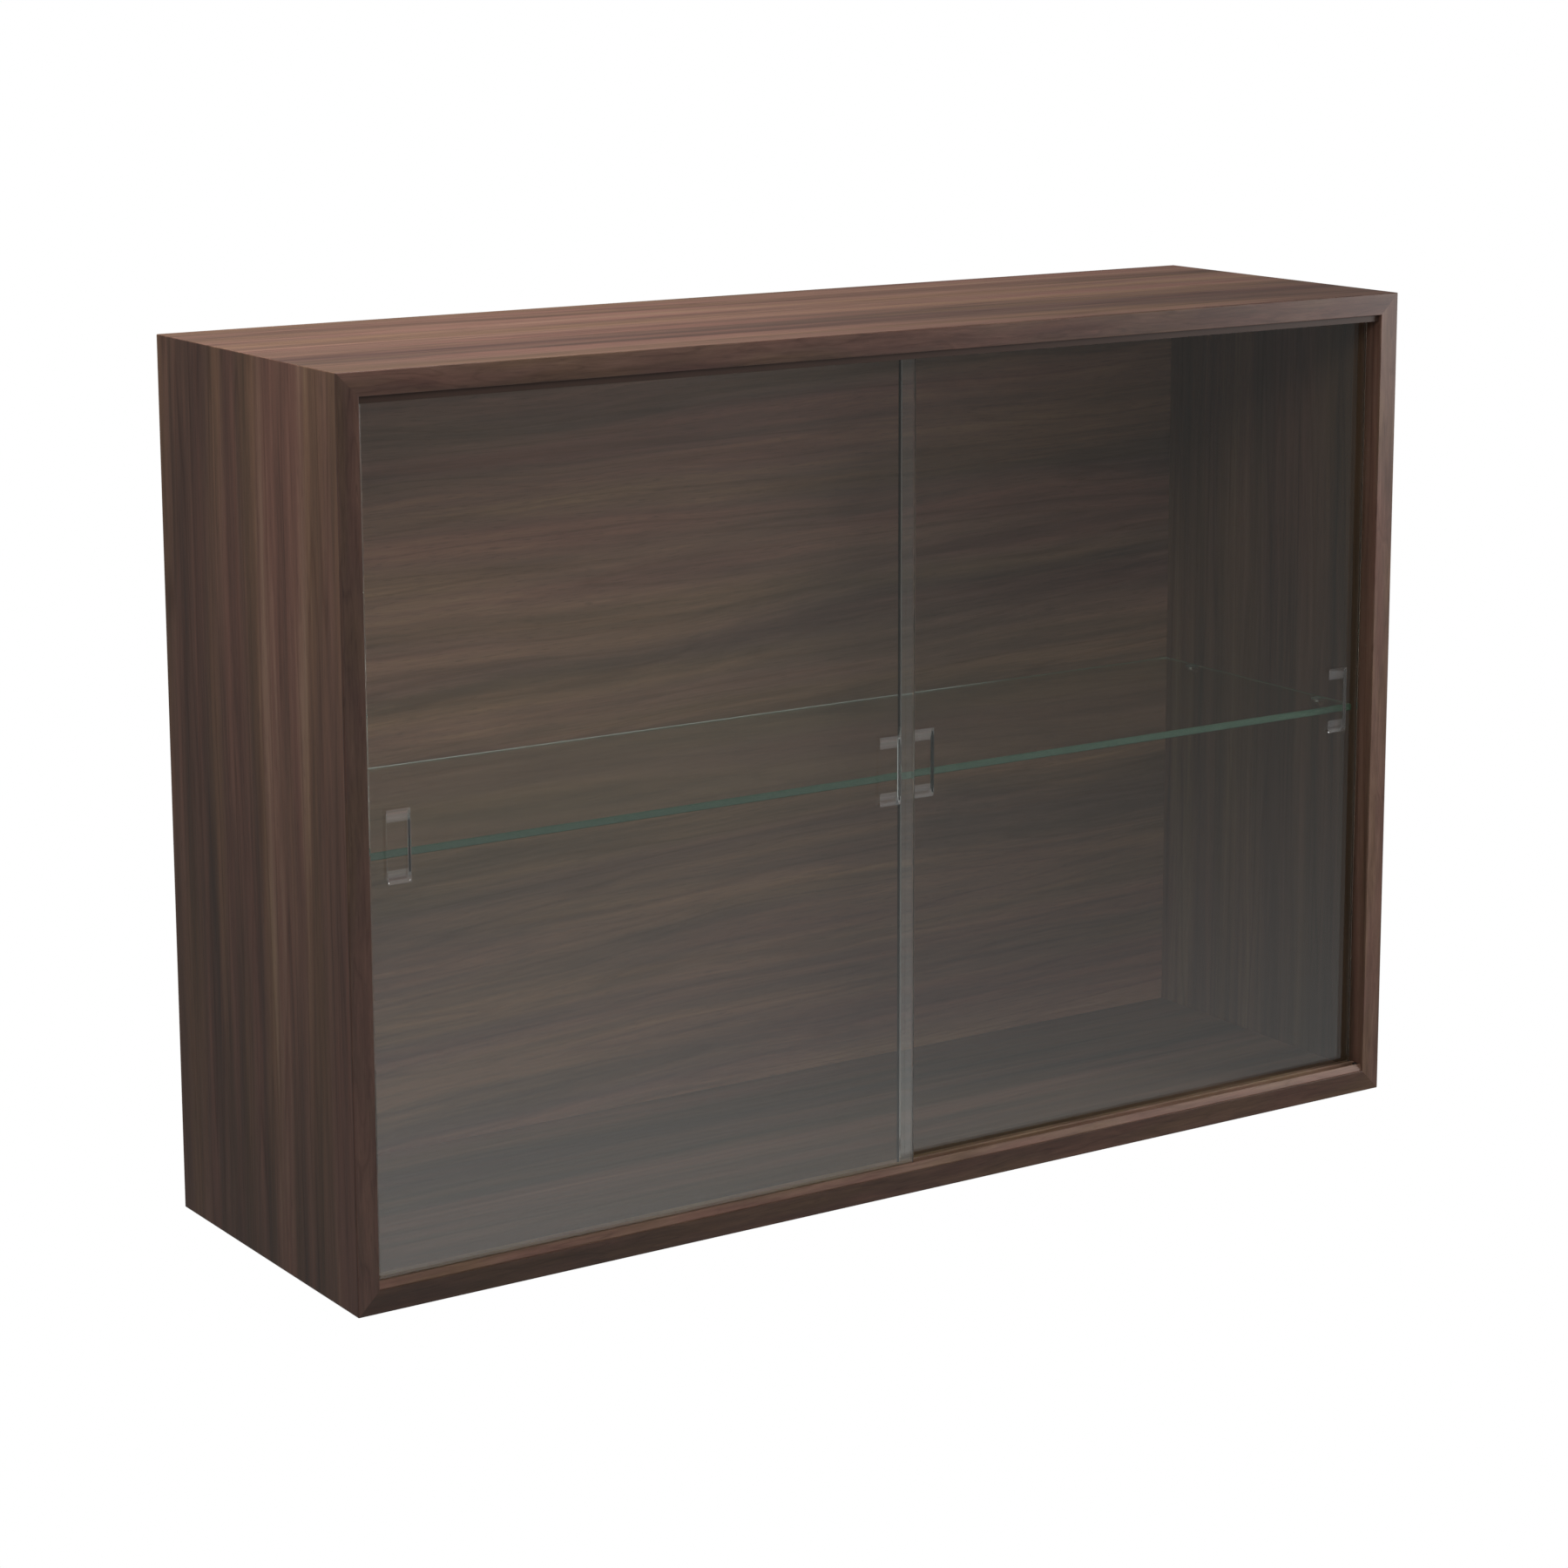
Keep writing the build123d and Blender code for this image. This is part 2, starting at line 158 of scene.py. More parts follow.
# %% Walnut
LACQUER_GLOSSIEST, LACQUER_DULLEST, LACQUER_IOR = 0.38, 0.48, 1.5
LACQUER_RELIEF, RELIEF_MM, FIBRE_SHARE = 0.15, 0.1, 0.3
BAND_RUN_MM = 1400.0
SWING_WIDTH_MM = 160.0
WAVER_RUN, WAVER_REACH, WAVER_WIDTH_MM = 0.22, 0.18, 30.0
HUE_RUN, HUE_WIDTH = 1.5, 2.4
RING_RUN, RING_WIDTH = 2.0, 1.8
FIBRE_RUN_MM, FIBRE_MM = 90.0, 1.8
FIBRE_DARK, FIBRE_LIGHT = 0.92, 1.07
PORE_RUN_MM, PORE_MM, PORE_COLOUR = 14.0, 0.7, "#241a16"
PORE_FROM, PORE_FULL = 0.66, 0.76
NOISE_LOW, NOISE_HIGH = 0.3, 0.7
PLUM_TO_OLIVE = ((0.36, "#fff4f6"), (0.50, "#fffdfb"), (0.64, "#fcfdee"))
RING_LINES = ((0.0, "#ffffff"), (0.385, "#ffffff"), (0.41, "#cfc6c0"), (0.43, "#ffffff"),
              (0.55, "#ffffff"), (0.575, "#bfb4ad"), (0.60, "#ffffff"))


def grain_place(material, along, shift, lean=0.0):
    """Object place turned so that its X runs along the grain, its Y across it, in the board's face.

    along is the grain's axis, "x" or "z"; lean tilts the grain; shift picks another part of the log.
    """
    place = add(material, "ShaderNodeTexCoord").outputs["Object"]
    turn = {"x": (math.radians(90), 0.0, lean), "z": (0.0, math.radians(90), lean)}[along]
    turned = add(material, "ShaderNodeMapping", {"Vector": place, "Rotation": turn})
    return add(material, "ShaderNodeMapping", {"Vector": turned, "Location": shift})


def grain(material, place, along_mm, across_mm, detail, roughness=0.5):
    """Noise whose features are along_mm long and across_mm wide."""
    size = (1 / (along_mm * MM), 1 / (across_mm * MM), 1 / (across_mm * MM))
    scaled = add(material, "ShaderNodeMapping", {"Vector": place, "Scale": size})
    return add(material, "ShaderNodeTexNoise", {
        "Vector": scaled, "Scale": 1.0, "Detail": detail, "Roughness": roughness}).outputs["Fac"]


def swung(material, place, run_mm, reach_mm, slow_mm):
    """The place pushed across the grain by a slow noise, so that the streaks swing like real grain."""
    slow = add(material, "ShaderNodeMath", {0: grain(material, place, run_mm, slow_mm, 1.0), 1: 0.5},
               operation="SUBTRACT")
    offset = add(material, "ShaderNodeMath", {0: slow, 1: reach_mm * MM}, operation="MULTIPLY")
    push = add(material, "ShaderNodeCombineXYZ", {"Y": offset, "Z": offset})
    return add(material, "ShaderNodeVectorMath", {0: place, 1: push}, operation="ADD")


def leaf_colour(material, place, tones, streak_mm, streak_run_mm, band_mm, casts, line_share,
                pore_share, spread):
    """The leaf's colour, and the fibre and pore patterns that its roughness and relief share.

    Tone is bands plus streaks, a sum near 1 whose range from 1 - spread to 1 + spread runs over the
    tones: a wider spread gives an evener leaf. Hue, ring lines, fibres and pores lie over it in turn.
    """
    bands = grain(material, place, BAND_RUN_MM, band_mm, 1.0)
    streaks = grain(material, place, streak_run_mm, streak_mm, 5.0, 0.70)
    both = add(material, "ShaderNodeMath", {0: bands, 1: streaks}, operation="ADD")
    tone = add(material, "ShaderNodeMapRange", {0: both, 1: 1.0 - spread, 2: 1.0 + spread})
    places = np.linspace(0.0, 1.0, len(tones)).tolist()
    toned = add(material, "ShaderNodeValToRGB", {"Fac": tone}, stops=tuple(zip(places, tones)))
    drift = grain(material, place, streak_run_mm * HUE_RUN, streak_mm * HUE_WIDTH, 1.0)
    hue = add(material, "ShaderNodeValToRGB", {"Fac": drift}, stops=casts)
    hued = add(material, "ShaderNodeMix", {0: 1.0, 6: toned, 7: hue},
               data_type="RGBA", blend_type="MULTIPLY")
    years = grain(material, place, streak_run_mm * RING_RUN, streak_mm * RING_WIDTH, 1.0)
    rings = add(material, "ShaderNodeValToRGB", {"Fac": years}, stops=RING_LINES)
    lined = add(material, "ShaderNodeMix", {0: line_share, 6: hued.outputs[2], 7: rings},
                data_type="RGBA", blend_type="MULTIPLY")
    fibres = grain(material, place, FIBRE_RUN_MM, FIBRE_MM, 2.0, 0.7)
    shade = add(material, "ShaderNodeMapRange", {
        0: fibres, 1: NOISE_LOW, 2: NOISE_HIGH, 3: FIBRE_DARK, 4: FIBRE_LIGHT})
    shaded = add(material, "ShaderNodeVectorMath", {0: lined.outputs[2], "Scale": shade},
                 operation="SCALE")
    specks = grain(material, place, PORE_RUN_MM, PORE_MM, 0.0)
    pores = add(material, "ShaderNodeMapRange", {
        0: specks, 1: PORE_FROM, 2: PORE_FULL, 3: 0.0, 4: pore_share})
    colour = add(material, "ShaderNodeMix", {0: pores, 6: shaded, 7: linear(PORE_COLOUR)},
                 data_type="RGBA")
    return colour.outputs[2], fibres, pores


def walnut(name, along, shift, tones, swing_mm=26.0, run_mm=900.0, lean=0.0, streak_mm=14.0,
           streak_run_mm=380.0, band_mm=55.0, casts=PLUM_TO_OLIVE, line_share=0.55, pore_share=0.25,
           spread=0.33, rear=None):
    """Quarter-cut leaf under satin lacquer; tones are the hex colours from darkest to lightest.

    rear is (y, colour, speckle): past that y the leaf ends and the raw board or backing sheet shows.
    """
    material = new_material(name)
    place = grain_place(material, along, shift, lean)
    place = swung(material, place, run_mm, swing_mm, SWING_WIDTH_MM)
    place = swung(material, place, run_mm * WAVER_RUN, swing_mm * WAVER_REACH, WAVER_WIDTH_MM)
    colour, fibres, pores = leaf_colour(material, place, tones, streak_mm, streak_run_mm, band_mm,
                                        casts, line_share, pore_share, spread)
    if rear:
        colour = rear_face(material, colour, *rear)
    roughness = add(material, "ShaderNodeMapRange", {
        0: fibres, 1: NOISE_LOW, 2: NOISE_HIGH, 3: LACQUER_GLOSSIEST, 4: LACQUER_DULLEST})
    raised = add(material, "ShaderNodeMath", {0: fibres, 1: FIBRE_SHARE}, operation="MULTIPLY")
    relief = add(material, "ShaderNodeMath", {0: raised, 1: pores}, operation="SUBTRACT")
    bump = add(material, "ShaderNodeBump", {
        "Height": relief, "Strength": LACQUER_RELIEF, "Distance": RELIEF_MM * MM})
    shader = add(material, "ShaderNodeBsdfPrincipled", {
        "Base Color": colour, "Roughness": roughness, "IOR": LACQUER_IOR, "Normal": bump,
        "Specular IOR Level": 0.3})
    add(material, "ShaderNodeOutputMaterial", {"Surface": shader})
    return material


# %% [markdown]
# The back edges of the boards are never seen on the wall, so no maker lips them: they are raw
# chipboard, pressed from chips of 1 to 4 mm. The back panel's rear face has a plain backing sheet.
# Both are part of the same solid as the leaf, so the material changes by place: past a plane, cells
# of the chips' size, each with its own tone, take over from the leaf.

# %% Raw chipboard and backing sheet
CHIP_MM, CHIP_SQUEEZE = 2.6, (1.0, 0.5, 1.6)


def rear_face(material, leaf, rear_y, colour, speckle):
    """The leaf's colour before rear_y, and past it one colour broken up by chips, by that much."""
    place = add(material, "ShaderNodeTexCoord").outputs["Object"]
    flat = add(material, "ShaderNodeMapping", {"Vector": place, "Scale": CHIP_SQUEEZE})
    chips = add(material, "ShaderNodeTexVoronoi", {"Vector": flat, "Scale": 1 / (CHIP_MM * MM)})
    lightness = add(material, "ShaderNodeSeparateColor", {0: chips.outputs["Color"]})
    shade = add(material, "ShaderNodeMapRange", {0: lightness, 3: 1.0 - speckle, 4: 1.0 + speckle})
    raw = add(material, "ShaderNodeVectorMath", {0: linear(colour)[:3], "Scale": shade},
              operation="SCALE")
    depth = add(material, "ShaderNodeSeparateXYZ", {0: place})
    past = add(material, "ShaderNodeMath", {0: depth.outputs["Y"], 1: rear_y},
               operation="GREATER_THAN")
    return add(material, "ShaderNodeMix", {0: past, 6: leaf, 7: raw}, data_type="RGBA").outputs[2]


# %% [markdown]
# Every board has its own leaf, from another place in the same log. The top's leaf is lighter. The
# lippings are solid walnut 2 mm thick, so their grain is shorter and closer, and the bottom and left
# ones are darker, partly as wood that differs and partly as painted shade for the light that falls off
# at the left and bottom of the front. The bottom track is a plastic extrusion wrapped in a printed
# walnut foil, with hardly any pores; its light tones are partly the foil's and partly painted light
# that lifts the shade in its grooves.

# %% The case's woods
SIDE_TONES = ("#3c2e27", "#513c32", "#664b3f", "#7d6453")
TOP_TONES = ("#513d34", "#664c40", "#7a5b4d", "#8b6d5c")
INSIDE_TONES = ("#44342e", "#634b42", "#805f52", "#9d7a66")
LIPPING_TONES = ("#44312a", "#523c33", "#60483d", "#6e5549")
# The left and bottom lippings' darker tones are partly wood that differs, partly painted shade for the
# light falling off at the left and bottom of the front.
LEFT_LIPPING_TONES_WITH_SHADE = ("#3f2d26", "#4c382f", "#594338", "#664f42")
BOTTOM_LIPPING_TONES_WITH_SHADE = ("#39281f", "#453127", "#523c30", "#5f483a")
# The foil's light tones are partly its print and partly painted light that lifts the shade in the
# track's grooves.
FOIL_TONES_WITH_PAINTED_LIGHT = ("#5f483d", "#6e5548", "#7c6253", "#8a6f5f")
BEECH_TONES = ("#b08c6c", "#c29d7b", "#cfab89", "#d9b896")
NO_CAST = ((0.0, "#ffffff"), (1.0, "#ffffff"))
INSIDE_CAST = ((0.36, "#ffedf0"), (0.50, "#fffaf8"), (0.64, "#fffdee"))
LIPPING_GRAIN = {"streak_mm": 7.0, "streak_run_mm": 70.0, "swing_mm": 9.0, "run_mm": 110.0,
                 "band_mm": 30.0, "line_share": 0.4}
FOIL_GRAIN = {"streak_mm": 6.0, "streak_run_mm": 60.0, "swing_mm": 6.0, "run_mm": 90.0,
              "band_mm": 24.0, "line_share": 0.3, "pore_share": 0.1}
CHIPBOARD, CHIP_SPECKLE = "#9b7f5f", 0.30
BACKING_SHEET, SHEET_SPECKLE = "#4f3c32", 0.05
JUST_BEFORE_WALL = -0.25 * MM
raw_edge = (JUST_BEFORE_WALL, CHIPBOARD, CHIP_SPECKLE)
back_low, back_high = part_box("back_panel")
backing = ((back_low.y + back_high.y) / 2, BACKING_SHEET, SHEET_SPECKLE)

wood = {
    "left_side_panel": walnut("walnut_veneer_left_side", "z", (0.0, 0.31, 0.2), SIDE_TONES,
                              rear=raw_edge),
    "right_side_panel": walnut("walnut_veneer_right_side", "z", (3.1, 2.4, 1.0), SIDE_TONES,
                               rear=raw_edge),
    "top_panel": walnut("walnut_veneer_top", "x", (1.7, 5.3, 0.4), TOP_TONES, streak_mm=12.0,
                        rear=raw_edge),
    "bottom_panel": walnut("walnut_veneer_bottom", "x", (6.2, 1.1, 2.0), SIDE_TONES,
                           pore_share=0.1, rear=raw_edge),
    "back_panel": walnut("walnut_veneer_back", "x", (2.9, 3.6, 4.1), INSIDE_TONES, swing_mm=60.0,
                         streak_mm=16.0, streak_run_mm=420.0, band_mm=80.0, casts=INSIDE_CAST,
                         line_share=0.4, spread=0.40, lean=math.radians(1.5), rear=backing),
    "top_lipping": walnut("walnut_lipping_top", "x", (8.3, 0.2, 3.3), LIPPING_TONES,
                          **LIPPING_GRAIN),
    "bottom_lipping": walnut("walnut_lipping_bottom", "x", (4.4, 7.7, 2.6), BOTTOM_LIPPING_TONES_WITH_SHADE,
                             **LIPPING_GRAIN),
    "left_side_lipping": walnut("walnut_lipping_left", "z", (5.2, 3.3, 8.1), LEFT_LIPPING_TONES_WITH_SHADE,
                                **LIPPING_GRAIN),
    "right_side_lipping": walnut("walnut_lipping_right", "z", (9.6, 4.5, 1.4), LIPPING_TONES,
                                 **LIPPING_GRAIN),
    "bottom_track": walnut("walnut_foil_track", "x", (7.1, 2.2, 6.4), FOIL_TONES_WITH_PAINTED_LIGHT, **FOIL_GRAIN),
}
beech = walnut("planed_beech", "x", (3.0, 9.1, 5.5), BEECH_TONES, streak_mm=6.0, casts=NO_CAST,
               line_share=0.25, pore_share=0.1)
print(len(wood), "walnut finishes and a beech")

# %% [markdown]
# ## Glass
# The doors and the shelf are float glass. Float glass holds a little iron, so a pane looks clear
# through its face and green along its edge, where the light has gone the long way. A green surface
# tint would colour the face too; the real cause, a slight green absorption in the volume, colours
# only long paths. The faces come polished off the float line. The doors' edges are ground and then
# polished nearly clear, the shelf's are left satin, and so, faintly, are the ramps of the finger
# pulls: one value on each face of the mesh, "ground", says how matt it is, and the material reads it.
# Only the shelf's satin edge gets a green surface tint as well, because it glows with light from the
# whole pane, which takes more bounces than a renderer follows.

# %% Glass
GLASS_IOR = 1.52
EDGE_TINT, EDGE_TINT_FROM, EDGE_TINT_FULL = "#3f8f62", 0.25, 0.55
GROUND_ROUGHNESS, GROUND_CLEARNESS = 0.30, 0.65
THIN_PANE = "#f4f8f5"


def float_glass(name, absorbed, density):
    """Float glass: polished where ground is 0, satin where it is 1, slightly green inside.

    Lamp light and the light that walls scatter pass straight through, as they do through a thin
    flat pane; what is looked at through the glass is bent and mirrored by the real surface.
    """
    material = new_material(name)
    ground = add(material, "ShaderNodeAttribute", attribute_name="ground").outputs["Fac"]
    green = add(material, "ShaderNodeMapRange", {0: ground, 1: EDGE_TINT_FROM, 2: EDGE_TINT_FULL})
    tint = add(material, "ShaderNodeMix", {0: green, 6: linear("#ffffff"), 7: linear(EDGE_TINT)},
               data_type="RGBA")
    rough = add(material, "ShaderNodeMath", {0: ground, 1: GROUND_ROUGHNESS}, operation="MULTIPLY")
    clear = add(material, "ShaderNodeMapRange", {0: ground, 3: 1.0, 4: GROUND_CLEARNESS})
    shader = add(material, "ShaderNodeBsdfPrincipled", {
        "Base Color": tint.outputs[2], "Roughness": rough, "IOR": GLASS_IOR,
        "Transmission Weight": clear})
    straight = add(material, "ShaderNodeBsdfTransparent", {"Color": linear(THIN_PANE)})
    ray = add(material, "ShaderNodeLightPath")
    passing = add(material, "ShaderNodeMath", {
        0: ray.outputs["Is Shadow Ray"], 1: ray.outputs["Is Diffuse Ray"]}, operation="MAXIMUM")
    surface = add(material, "ShaderNodeMixShader", {0: passing, 1: shader, 2: straight})
    volume = add(material, "ShaderNodeVolumeAbsorption", {"Color": linear(absorbed), "Density": density})
    add(material, "ShaderNodeOutputMaterial", {"Surface": surface, "Volume": volume})
    return material


door_glass = float_glass("float_glass_doors", "#a4f2c4", 7.0)
shelf_glass = float_glass("float_glass_shelf", "#8cf0b2", 9.0)

# %% [markdown]
# ## Panes with ground finger pulls
# A pane is a slab whose eight edges have a narrow arris, so that they don't cut. Near each upright
# edge of a door the grinder sinks a finger pull: a hollow with a flat floor, steep side walls and a
# long ramp at the top and bottom. It could be cut with a boolean, but that leaves loose slivers in
# glass, where every face bends the light. Here the front face is a height field: the depth at (x, z)
# is the product of a wall profile across and a ramp profile along, on a grid that is fine only where
# the surface curves. The back face and the rim are rings of the same grid, so the slab is closed.

# %% Pane surface
ARRIS = 0.8 * MM
PULL_WIDTH, PULL_HEIGHT, PULL_DEPTH = 20 * MM, 56 * MM, 2.5 * MM
PULL_RAMP, PULL_WALL, PULL_INSET = 11 * MM, 1.6 * MM, 14 * MM
FLAT_MARGIN = 0.3 * MM
STEEP_STEP = 0.01 * MM
RAMP_GROUND = 0.22
DOOR_EDGE_GROUND, SHELF_EDGE_GROUND = 0.03, 0.50


def eased(t):
    """From 0 to 1, mostly straight, with soft ends: the mean of t and the smooth step 3t^2 - 2t^3."""
    t = np.clip(t, 0.0, 1.0)
    return 0.5 * t + 0.5 * t * t * (3 - 2 * t)


def pull_depth(x, z, pull):
    """Depth of one hollow at (x, z): PULL_DEPTH times wall(x) times ramp(z).

    The wall is eased from 0 to 1; the ramp is the wheel's run-out, 1 - (1 - t)^3, steep where it
    leaves the face and level where it meets the floor of the hollow.
    """
    left, bottom = pull
    wall = np.minimum(x - left, left + PULL_WIDTH - x) / PULL_WALL
    run = np.minimum(z - bottom, bottom + PULL_HEIGHT - z) / PULL_RAMP
    run = np.clip(run, 0.0, 1.0)
    return PULL_DEPTH * eased(wall) * (1 - (1 - run) ** 3)


def grid_lines(low, high, steps):
    """Places from low to high: the two ends and every fine run (start, end, count) between them.

    A line a little outside each end of a run keeps the smooth shading of the curve off the flat glass.
    """
    runs = [np.concatenate([[start - FLAT_MARGIN], np.linspace(start, end, count), [end + FLAT_MARGIN]])
            for start, end, count in steps]
    return np.unique(np.round(np.concatenate([[low, high], *runs]), 7))


def inset(lines):
    """The grid lines with the outermost ones moved in by one arris."""
    low, high = lines[0] + ARRIS, lines[-1] - ARRIS
    return np.concatenate([[low], lines[(lines > low) & (lines < high)], [high]])


def pushed_out(places, inner, outer):
    """Places on the inner grid's two ends moved out to the outer grid's ends."""
    low_side = np.where(places <= inner[0], outer[0], places)
    return np.where(places >= inner[-1], outer[-1], low_side)


def pane_surface(u, v, w_near, w_far, edge_ground, hollow):
    """A closed slab over the grid (u, v) with its near face sunk by hollow(u, v).

    Rings: near face, outline one arris further in, outline one arris before the far face, far face.
    Returns (points as u, v, w), quads, and for each quad how far it is ground.
    """
    inner_u, inner_v = inset(u), inset(v)
    grid_u, grid_v = np.meshgrid(inner_u, inner_v, indexing="ij")
    rows, columns = grid_u.shape
    sunk = hollow(grid_u, grid_v)
    near = np.stack([grid_u, grid_v, w_near + sunk], -1).reshape(-1, 3)
    far = np.stack([grid_u, grid_v, np.full_like(grid_u, w_far)], -1).reshape(-1, 3)
    index = np.arange(rows * columns).reshape(rows, columns)
    rim = np.concatenate([index[:-1, 0], index[-1, :-1], index[:0:-1, -1], index[0, :0:-1]])
    edge = near[rim].copy()
    edge[:, 0] = pushed_out(edge[:, 0], inner_u, u)
    edge[:, 1] = pushed_out(edge[:, 1], inner_v, v)
    front_edge, back_edge = edge.copy(), edge.copy()
    front_edge[:, 2], back_edge[:, 2] = w_near + ARRIS, w_far - ARRIS
    points = np.concatenate([near, far, front_edge, back_edge])

    a, b, c, d = index[:-1, :-1], index[1:, :-1], index[1:, 1:], index[:-1, 1:]
    near_quads = np.stack([a, d, c, b], -1).reshape(-1, 4)
    far_quads = np.stack([a, b, c, d], -1).reshape(-1, 4) + rows * columns
    count = len(rim)
    first = 2 * rows * columns + np.arange(count)
    rings = [rim, first, first + count, rim + rows * columns]
    strips = [np.stack([one, np.roll(one, -1), np.roll(two, -1), two], -1)
              for one, two in zip(rings, rings[1:])]
    quads = np.concatenate([near_quads, far_quads, *strips])

    depth = sunk[:-1, :-1], sunk[1:, :-1], sunk[1:, 1:], sunk[:-1, 1:]
    steep = (np.maximum.reduce(depth) - np.minimum.reduce(depth)).reshape(-1) > STEEP_STEP
    ground = np.concatenate([steep * RAMP_GROUND, np.zeros(len(far_quads)),
                             np.full(3 * count, edge_ground)])
    return points, quads, ground


def outward(points, quads):
    """The quads turned so that they face out: the signed volume of the closed surface is positive."""
    corner = points[quads]
    fans = np.cross(corner[:, 1] - corner[:, 0], corner[:, 2] - corner[:, 0]) \
        + np.cross(corner[:, 2] - corner[:, 0], corner[:, 3] - corner[:, 0])
    volume = (corner.mean(1) * fans).sum() / 6
    return quads if volume > 0 else quads[:, ::-1]


def mesh_object(name, points, quads, material, sharp_degrees=8.0):
    """An object at the origin with that mesh, smooth but for edges sharper than the angle."""
    mesh = bpy.data.meshes.new(name)
    mesh.from_pydata(points.tolist(), [], outward(points, quads).tolist())
    mesh.materials.append(material)
    mesh.polygons.foreach_set("use_smooth", np.ones(len(mesh.polygons), bool))
    mesh.set_sharp_from_angle(angle=math.radians(sharp_degrees))
    mesh.update()
    piece = bpy.data.objects.new(name, mesh)
    bpy.context.scene.collection.objects.link(piece)
    return piece


def set_ground(piece, ground):
    """Writes the ground value of each face."""
    values = piece.data.attributes.new("ground", "FLOAT", "FACE")
    values.data.foreach_set("value", ground.astype(np.float32))


# %% [markdown]
# The two doors share one function: the grid has fine lines only across the pulls' walls and ramps.
# The shelf is the same slab laid flat, with no hollow.

# %% Door panes and shelf
WALL_LINES, RAMP_LINES = 5, 13


def door_pane(name, node, body):
    """One sliding door in the CAD door's box, with a pull near each upright edge."""
    low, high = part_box(node)
    bottom = (low.z + high.z - PULL_HEIGHT) / 2
    pulls = [(low.x + PULL_INSET, bottom), (high.x - PULL_INSET - PULL_WIDTH, bottom)]
    across = [run for left, _ in pulls for run in (
        (left, left + PULL_WALL, WALL_LINES),
        (left + PULL_WIDTH - PULL_WALL, left + PULL_WIDTH, WALL_LINES))]
    along = [(bottom, bottom + PULL_RAMP, RAMP_LINES),
             (bottom + PULL_HEIGHT - PULL_RAMP, bottom + PULL_HEIGHT, RAMP_LINES)]
    points, quads, ground = pane_surface(
        grid_lines(low.x, high.x, across), grid_lines(low.z, high.z, along), low.y, high.y,
        DOOR_EDGE_GROUND, lambda x, z: sum(pull_depth(x, z, pull) for pull in pulls))
    piece = mesh_object(name, points[:, [0, 2, 1]], quads, door_glass)
    set_ground(piece, ground)
    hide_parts(node)
    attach(piece, body)
    print(name, len(quads), "faces")


door_pane("front_door_pane", "front_door_glass", "front_door")
door_pane("rear_door_pane", "rear_door_glass", "rear_door")

low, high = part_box("shelf_glass")
points, quads, ground = pane_surface(grid_lines(low.x, high.x, []), grid_lines(low.y, high.y, []),
                                     low.z, high.z, SHELF_EDGE_GROUND, lambda x, y: 0.0 * x)
shelf = mesh_object("shelf_pane", points, quads, shelf_glass)
set_ground(shelf, ground)
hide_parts("shelf_glass")
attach(shelf, "cabinet")
print("shelf_pane", len(quads), "faces")

# %% [markdown]
# ## Small parts
# The top track is extruded PVC whose dark brown is painted shade, for the top board's shadow on it;
# the end stops are black rubber, the shelf pins nickel-plated steel with clear silicone pads, and the
# screws zinc-plated. On parts this small the
# eye reads only tone and gloss, so they share one recipe: a base colour that drifts slightly, and a
# fine grain in gloss and relief, 0.6 mm like the skin of an extrusion.

# %% Plastic, rubber and metal finishes
SKIN_MM, CLOUD_MM = 0.6, 40.0


def plain(name, colour, roughness, metallic=0.0, transmission=0.0, specular=0.5):
    """A moulded, extruded or plated surface with fine unevenness in its tone and roughness."""
    material = new_material(name)
    place = add(material, "ShaderNodeTexCoord").outputs["Object"]
    fine = add(material, "ShaderNodeTexNoise", {
        "Vector": place, "Scale": 1 / (SKIN_MM * MM), "Detail": 2.0})
    broad = add(material, "ShaderNodeTexNoise", {
        "Vector": place, "Scale": 1 / (CLOUD_MM * MM), "Detail": 2.0})
    shade = add(material, "ShaderNodeMapRange", {
        0: broad.outputs["Fac"], 1: NOISE_LOW, 2: NOISE_HIGH, 3: 0.92, 4: 1.06})
    tinted = add(material, "ShaderNodeVectorMath", {0: linear(colour)[:3], "Scale": shade},
                 operation="SCALE")
    rough = add(material, "ShaderNodeMapRange", {
        0: fine.outputs["Fac"], 1: NOISE_LOW, 2: NOISE_HIGH,
        3: roughness * 0.85, 4: roughness * 1.15})
    bump = add(material, "ShaderNodeBump", {
        "Height": fine.outputs["Fac"], "Strength": 0.15, "Distance": 0.05 * MM})
    shader = add(material, "ShaderNodeBsdfPrincipled", {
        "Base Color": tinted, "Roughness": rough, "Metallic": metallic, "Normal": bump,
        "Transmission Weight": transmission, "Specular IOR Level": specular})
    add(material, "ShaderNodeOutputMaterial", {"Surface": shader})
    return material


# The top track's dark brown is painted shade, standing in for the top board's shadow over it.
top_track_pvc_with_shade = plain("extruded_pvc_track_painted_shade", "#3b2b24", 0.5, specular=0.2)
stop_rubber = plain("moulded_rubber_stop", "#1c1a19", 0.7)
pin_nickel = plain("nickel_plated_pin", "#c9c4bc", 0.25, metallic=1.0)
clear_silicone = plain("clear_silicone_pad", "#e8ecea", 0.3, transmission=0.9)
zinc_screw = plain("zinc_plated_screw", "#b8b9b6", 0.35, metallic=1.0)

dress = dict(wood)
dress.update({"front_door_glass": door_glass, "rear_door_glass": door_glass, "shelf_glass": shelf_glass,
              "top_track": top_track_pvc_with_shade, "track_end_stops": stop_rubber,
              "shelf_pin_cushions": clear_silicone, "batten_screws": zinc_screw,
              "hanging_batten": beech, "wall_batten": beech, "spacer_batten": beech})
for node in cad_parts:
    if node.startswith("shelf_pin_") and node != "shelf_pin_cushions":
        dress[node] = pin_nickel
    if node.startswith("mitre_biscuits"):
        dress[node] = beech
for node, material in dress.items():
    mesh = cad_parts[node].data
    mesh.materials.clear()
    mesh.materials.append(material)
print("dressed", len(dress), "of", len(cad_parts), "nodes")

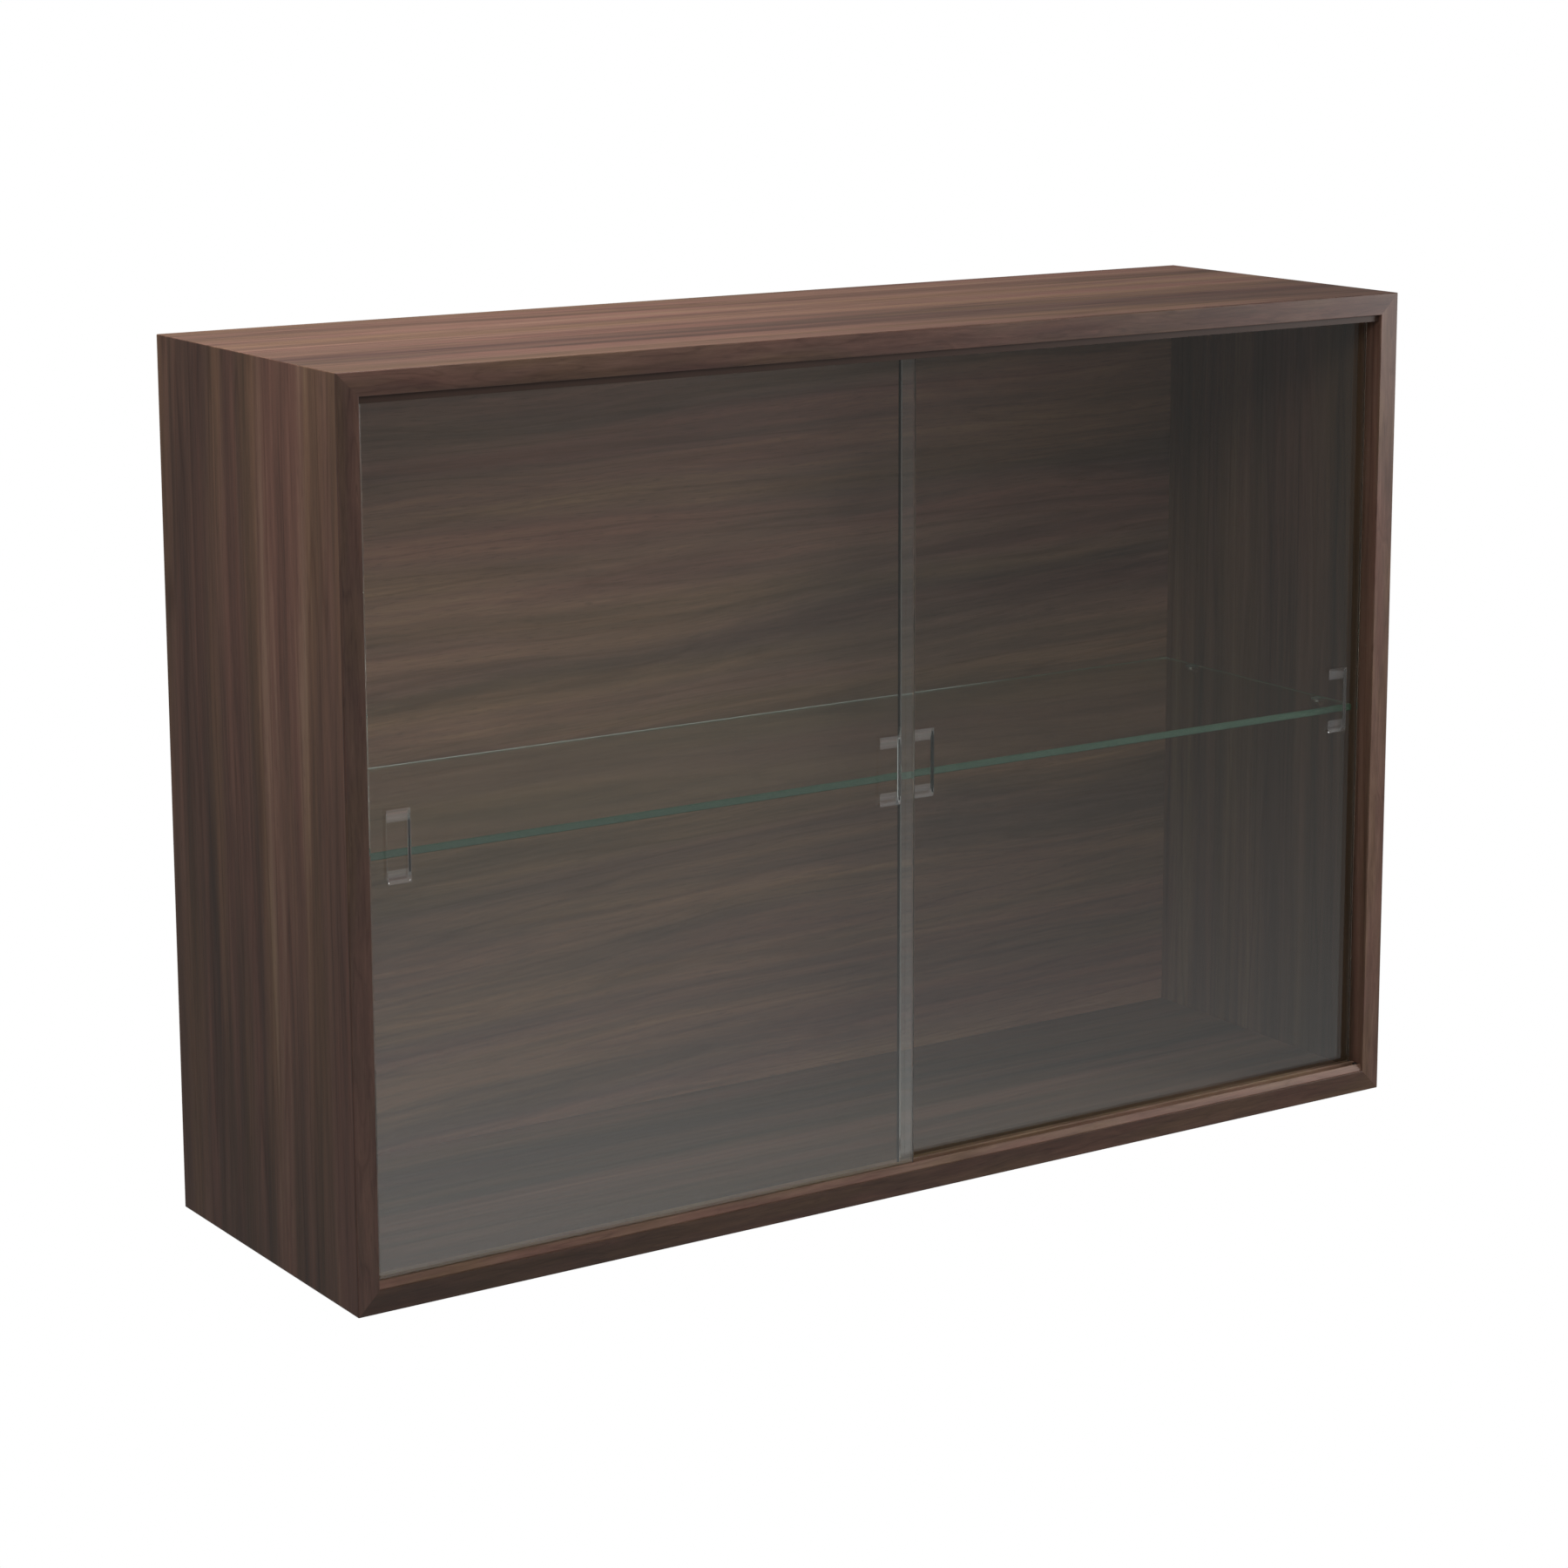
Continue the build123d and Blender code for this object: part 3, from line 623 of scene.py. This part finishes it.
# %% [markdown]
# ## Studio
# The case hangs over a pale floor, as it would on a wall. A large softbox close above its left end
# gives the top its lighter tone. A small one beside the left side lets that side darken downwards.
# One in front and to the left lights the inside through the doors, and a low one to the right lifts
# the frame's right end. They stand where the doors don't mirror them to the camera. The floor is no
# lamp but glows with a painted pool of light, brightest in front of the case and fading with distance,
# which lights the case from below and is what the doors do mirror. To the camera the floor and the
# surround are plain white, like the paper of a product picture.

# %% Floor and surround
FLOOR_BELOW = 1.25
FLOOR_HALF = 16.0
POOL_PLACE, POOL_RADIUS = (1.0, -3.4), 1.8
FLOOR_FAR, FLOOR_POOL = 0.19, 0.86
SURROUND = 0.15

floor_z = cad_low.z - FLOOR_BELOW
floor_mesh = bpy.data.meshes.new("studio_floor")
corners = [(-FLOOR_HALF, -FLOOR_HALF, floor_z), (FLOOR_HALF, -FLOOR_HALF, floor_z),
           (FLOOR_HALF, FLOOR_HALF, floor_z), (-FLOOR_HALF, FLOOR_HALF, floor_z)]
floor_mesh.from_pydata(corners, [], [(0, 1, 2, 3)])
floor = bpy.data.objects.new("studio_floor", floor_mesh)
bpy.context.scene.collection.objects.link(floor)
floor_glow = new_material("glowing_floor_light_pool")
place = add(floor_glow, "ShaderNodeTexCoord").outputs["Object"]
from_pool = add(floor_glow, "ShaderNodeVectorMath", {0: place, 1: (*POOL_PLACE, floor_z)},
                operation="DISTANCE")
reach = add(floor_glow, "ShaderNodeMath", {0: from_pool.outputs["Value"], 1: POOL_RADIUS},
            operation="DIVIDE")
# The level falls off as 1 / (1 + reach^2): bright in the pool, dim far away.
spread = add(floor_glow, "ShaderNodeMath", {0: reach, 1: reach, 2: 1.0},
             operation="MULTIPLY_ADD")
pool = add(floor_glow, "ShaderNodeMath", {0: FLOOR_POOL, 1: spread}, operation="DIVIDE")
level = add(floor_glow, "ShaderNodeMath", {0: pool, 1: FLOOR_FAR}, operation="ADD")
seen = add(floor_glow, "ShaderNodeLightPath").outputs["Is Camera Ray"]
# The floor is no lamp but glows: a painted pool of light for every ray but the camera's.
floor_light = add(floor_glow, "ShaderNodeEmission", {"Strength": level})
floor_white = add(floor_glow, "ShaderNodeEmission", {"Strength": 1.0})
floor_mix = add(floor_glow, "ShaderNodeMixShader", {0: seen, 1: floor_light, 2: floor_white})
add(floor_glow, "ShaderNodeOutputMaterial", {"Surface": floor_mix})
floor_mesh.materials.append(floor_glow)
print("floor", round(cad_low.z - floor_z, 2), "m below the case")

world = bpy.data.worlds.new("studio_surround")
bpy.context.scene.world = world
world.use_nodes = True
world.node_tree.nodes.clear()
WHITE = (1.0, 1.0, 1.0, 1.0)
dim = add(world, "ShaderNodeBackground", {"Color": WHITE, "Strength": SURROUND})
paper = add(world, "ShaderNodeBackground", {"Color": WHITE, "Strength": 1.0})
seen = add(world, "ShaderNodeLightPath").outputs["Is Camera Ray"]
add(world, "ShaderNodeOutputWorld", {
    "Surface": add(world, "ShaderNodeMixShader", {0: seen, 1: dim, 2: paper})})


# %% Lights
def soft_light(name, place, aim, size, watts):
    """A square softbox of that size in metres at place, pointing at aim."""
    data = bpy.data.lights.new(name, "AREA")
    data.size = size
    data.energy = watts
    light = bpy.data.objects.new(name, data)
    bpy.context.scene.collection.objects.link(light)
    light.location = place
    light.rotation_mode = "QUATERNION"
    light.rotation_quaternion = (Vector(aim) - Vector(place)).to_track_quat("-Z", "Y")
    print(name, watts, "W")


# Name, place, aim, size in metres, watts.
soft_light("softbox_above", (-0.4, -0.1, 1.1), (-0.25, -0.15, 0.0), 0.8, 16.0)
soft_light("softbox_left", (-1.15, -0.3, 0.42), (-0.5, -0.15, -0.05), 0.4, 3.1)
soft_light("softbox_front_left", (-1.0, -2.0, 1.3), (0.2, -0.2, -0.2), 0.8, 19.0)
soft_light("softbox_front_right", (1.6, -0.9, 0.16), (0.4, -0.3, -0.05), 0.5, 17.0)
bpy.context.scene.view_settings.view_transform = "Standard"
